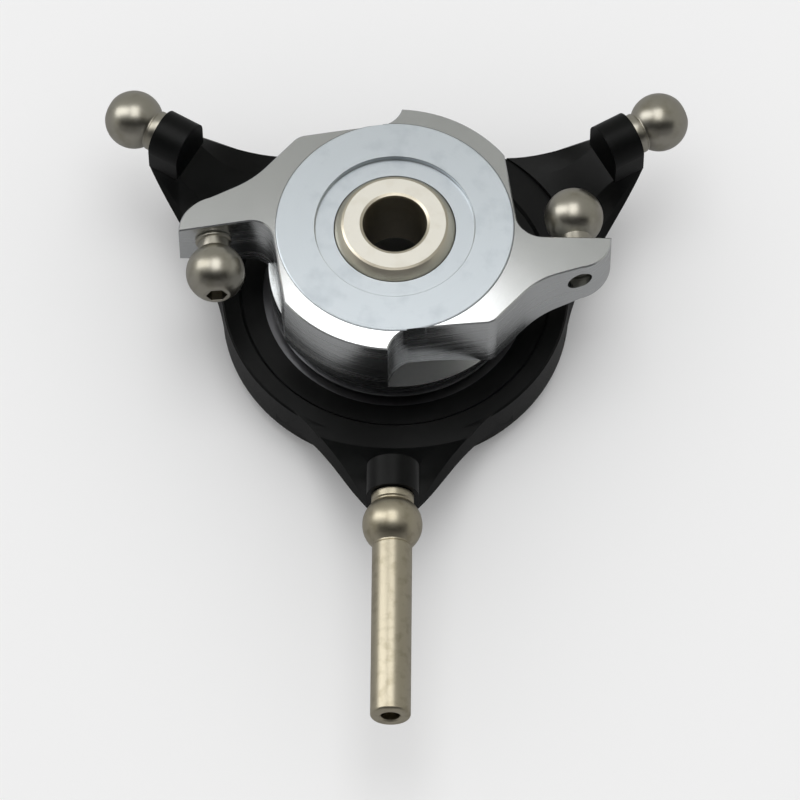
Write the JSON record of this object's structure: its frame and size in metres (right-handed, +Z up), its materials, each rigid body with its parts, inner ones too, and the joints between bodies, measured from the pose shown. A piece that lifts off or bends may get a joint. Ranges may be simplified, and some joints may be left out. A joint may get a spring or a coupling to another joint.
{
  "type": "helicopter swashplate",
  "caption": "Model helicopter swashplate: a polished two-arm rotating star over a black fixed ring with three ball-stud arms and a long guide pin, on a tilting mast ball.",
  "frame": {"origin": "centre of the mast ball, on the mast axis", "axes": "+Z up along the mast, out of the retainer cap; -Y along the guide pin; +X completes a right-handed frame"},
  "size_m": [0.0474, 0.056, 0.0159],
  "materials": {
    "anodised_black": "satin black anodised",
    "polished_aluminium": "polished, with fine milling marks",
    "satin_aluminium": "satin, lathe turned",
    "nickel_stud": "satin nickel plate",
    "nickel_pin": "nickel plate, lightly tarnished",
    "nickel_ball": "champagne nickel plate",
    "bearing_steel": "ground",
    "shield_steel": "cold rolled",
    "spring_steel": "oil blackened",
    "liner_plastic": "low-friction plastic"
  },
  "bodies": {
    "fixed_ring": {"outer_ring": "anodised_black", "right_ball_stud": "nickel_stud", "left_ball_stud": "nickel_stud", "guide_pin": "nickel_pin", "bearing_outer_race": "bearing_steel", "bearing_shield_upper": "shield_steel", "bearing_shield_lower": "shield_steel", "bearing_retaining_ring": "spring_steel"},
    "cage": {"bearing_cage": "shield_steel", "bearing_balls": "bearing_steel"},
    "star": {"rotating_star": "polished_aluminium", "ball_retainer_cap": "satin_aluminium", "star_right_ball_stud": "nickel_stud", "star_left_ball_stud": "nickel_stud", "bearing_inner_race": "bearing_steel", "bearing_shim": "shield_steel", "clamp_ring": "satin_aluminium"},
    "liner": {"ball_liner_upper": "liner_plastic", "ball_liner_lower": "liner_plastic"},
    "mast_ball": {"uniball": "nickel_ball"}
  },
  "joints": [
    {"name": "star_spin", "type": "hinge", "parent": "fixed_ring", "child": "star", "pos_m": [0, 0, -0.00945], "axis": [0, 0, 1], "continuous": true},
    {"name": "cage_spin", "type": "hinge", "parent": "fixed_ring", "child": "cage", "pos_m": [0, 0, -0.00945], "axis": [0, 0, 1], "continuous": true},
    {"name": "tilt_x", "type": "hinge", "parent": "star", "child": "liner", "pos_m": [0, 0, 0], "axis": [1, 0, 0], "range_deg": [-12, 12]},
    {"name": "tilt_y", "type": "hinge", "parent": "liner", "child": "mast_ball", "pos_m": [0, 0, 0], "axis": [0, 1, 0], "range_deg": [-12, 12]}
  ],
  "couplings": [
    {"joint": "cage_spin", "follows": "star_spin", "ratio": 0.4603}
  ]
}
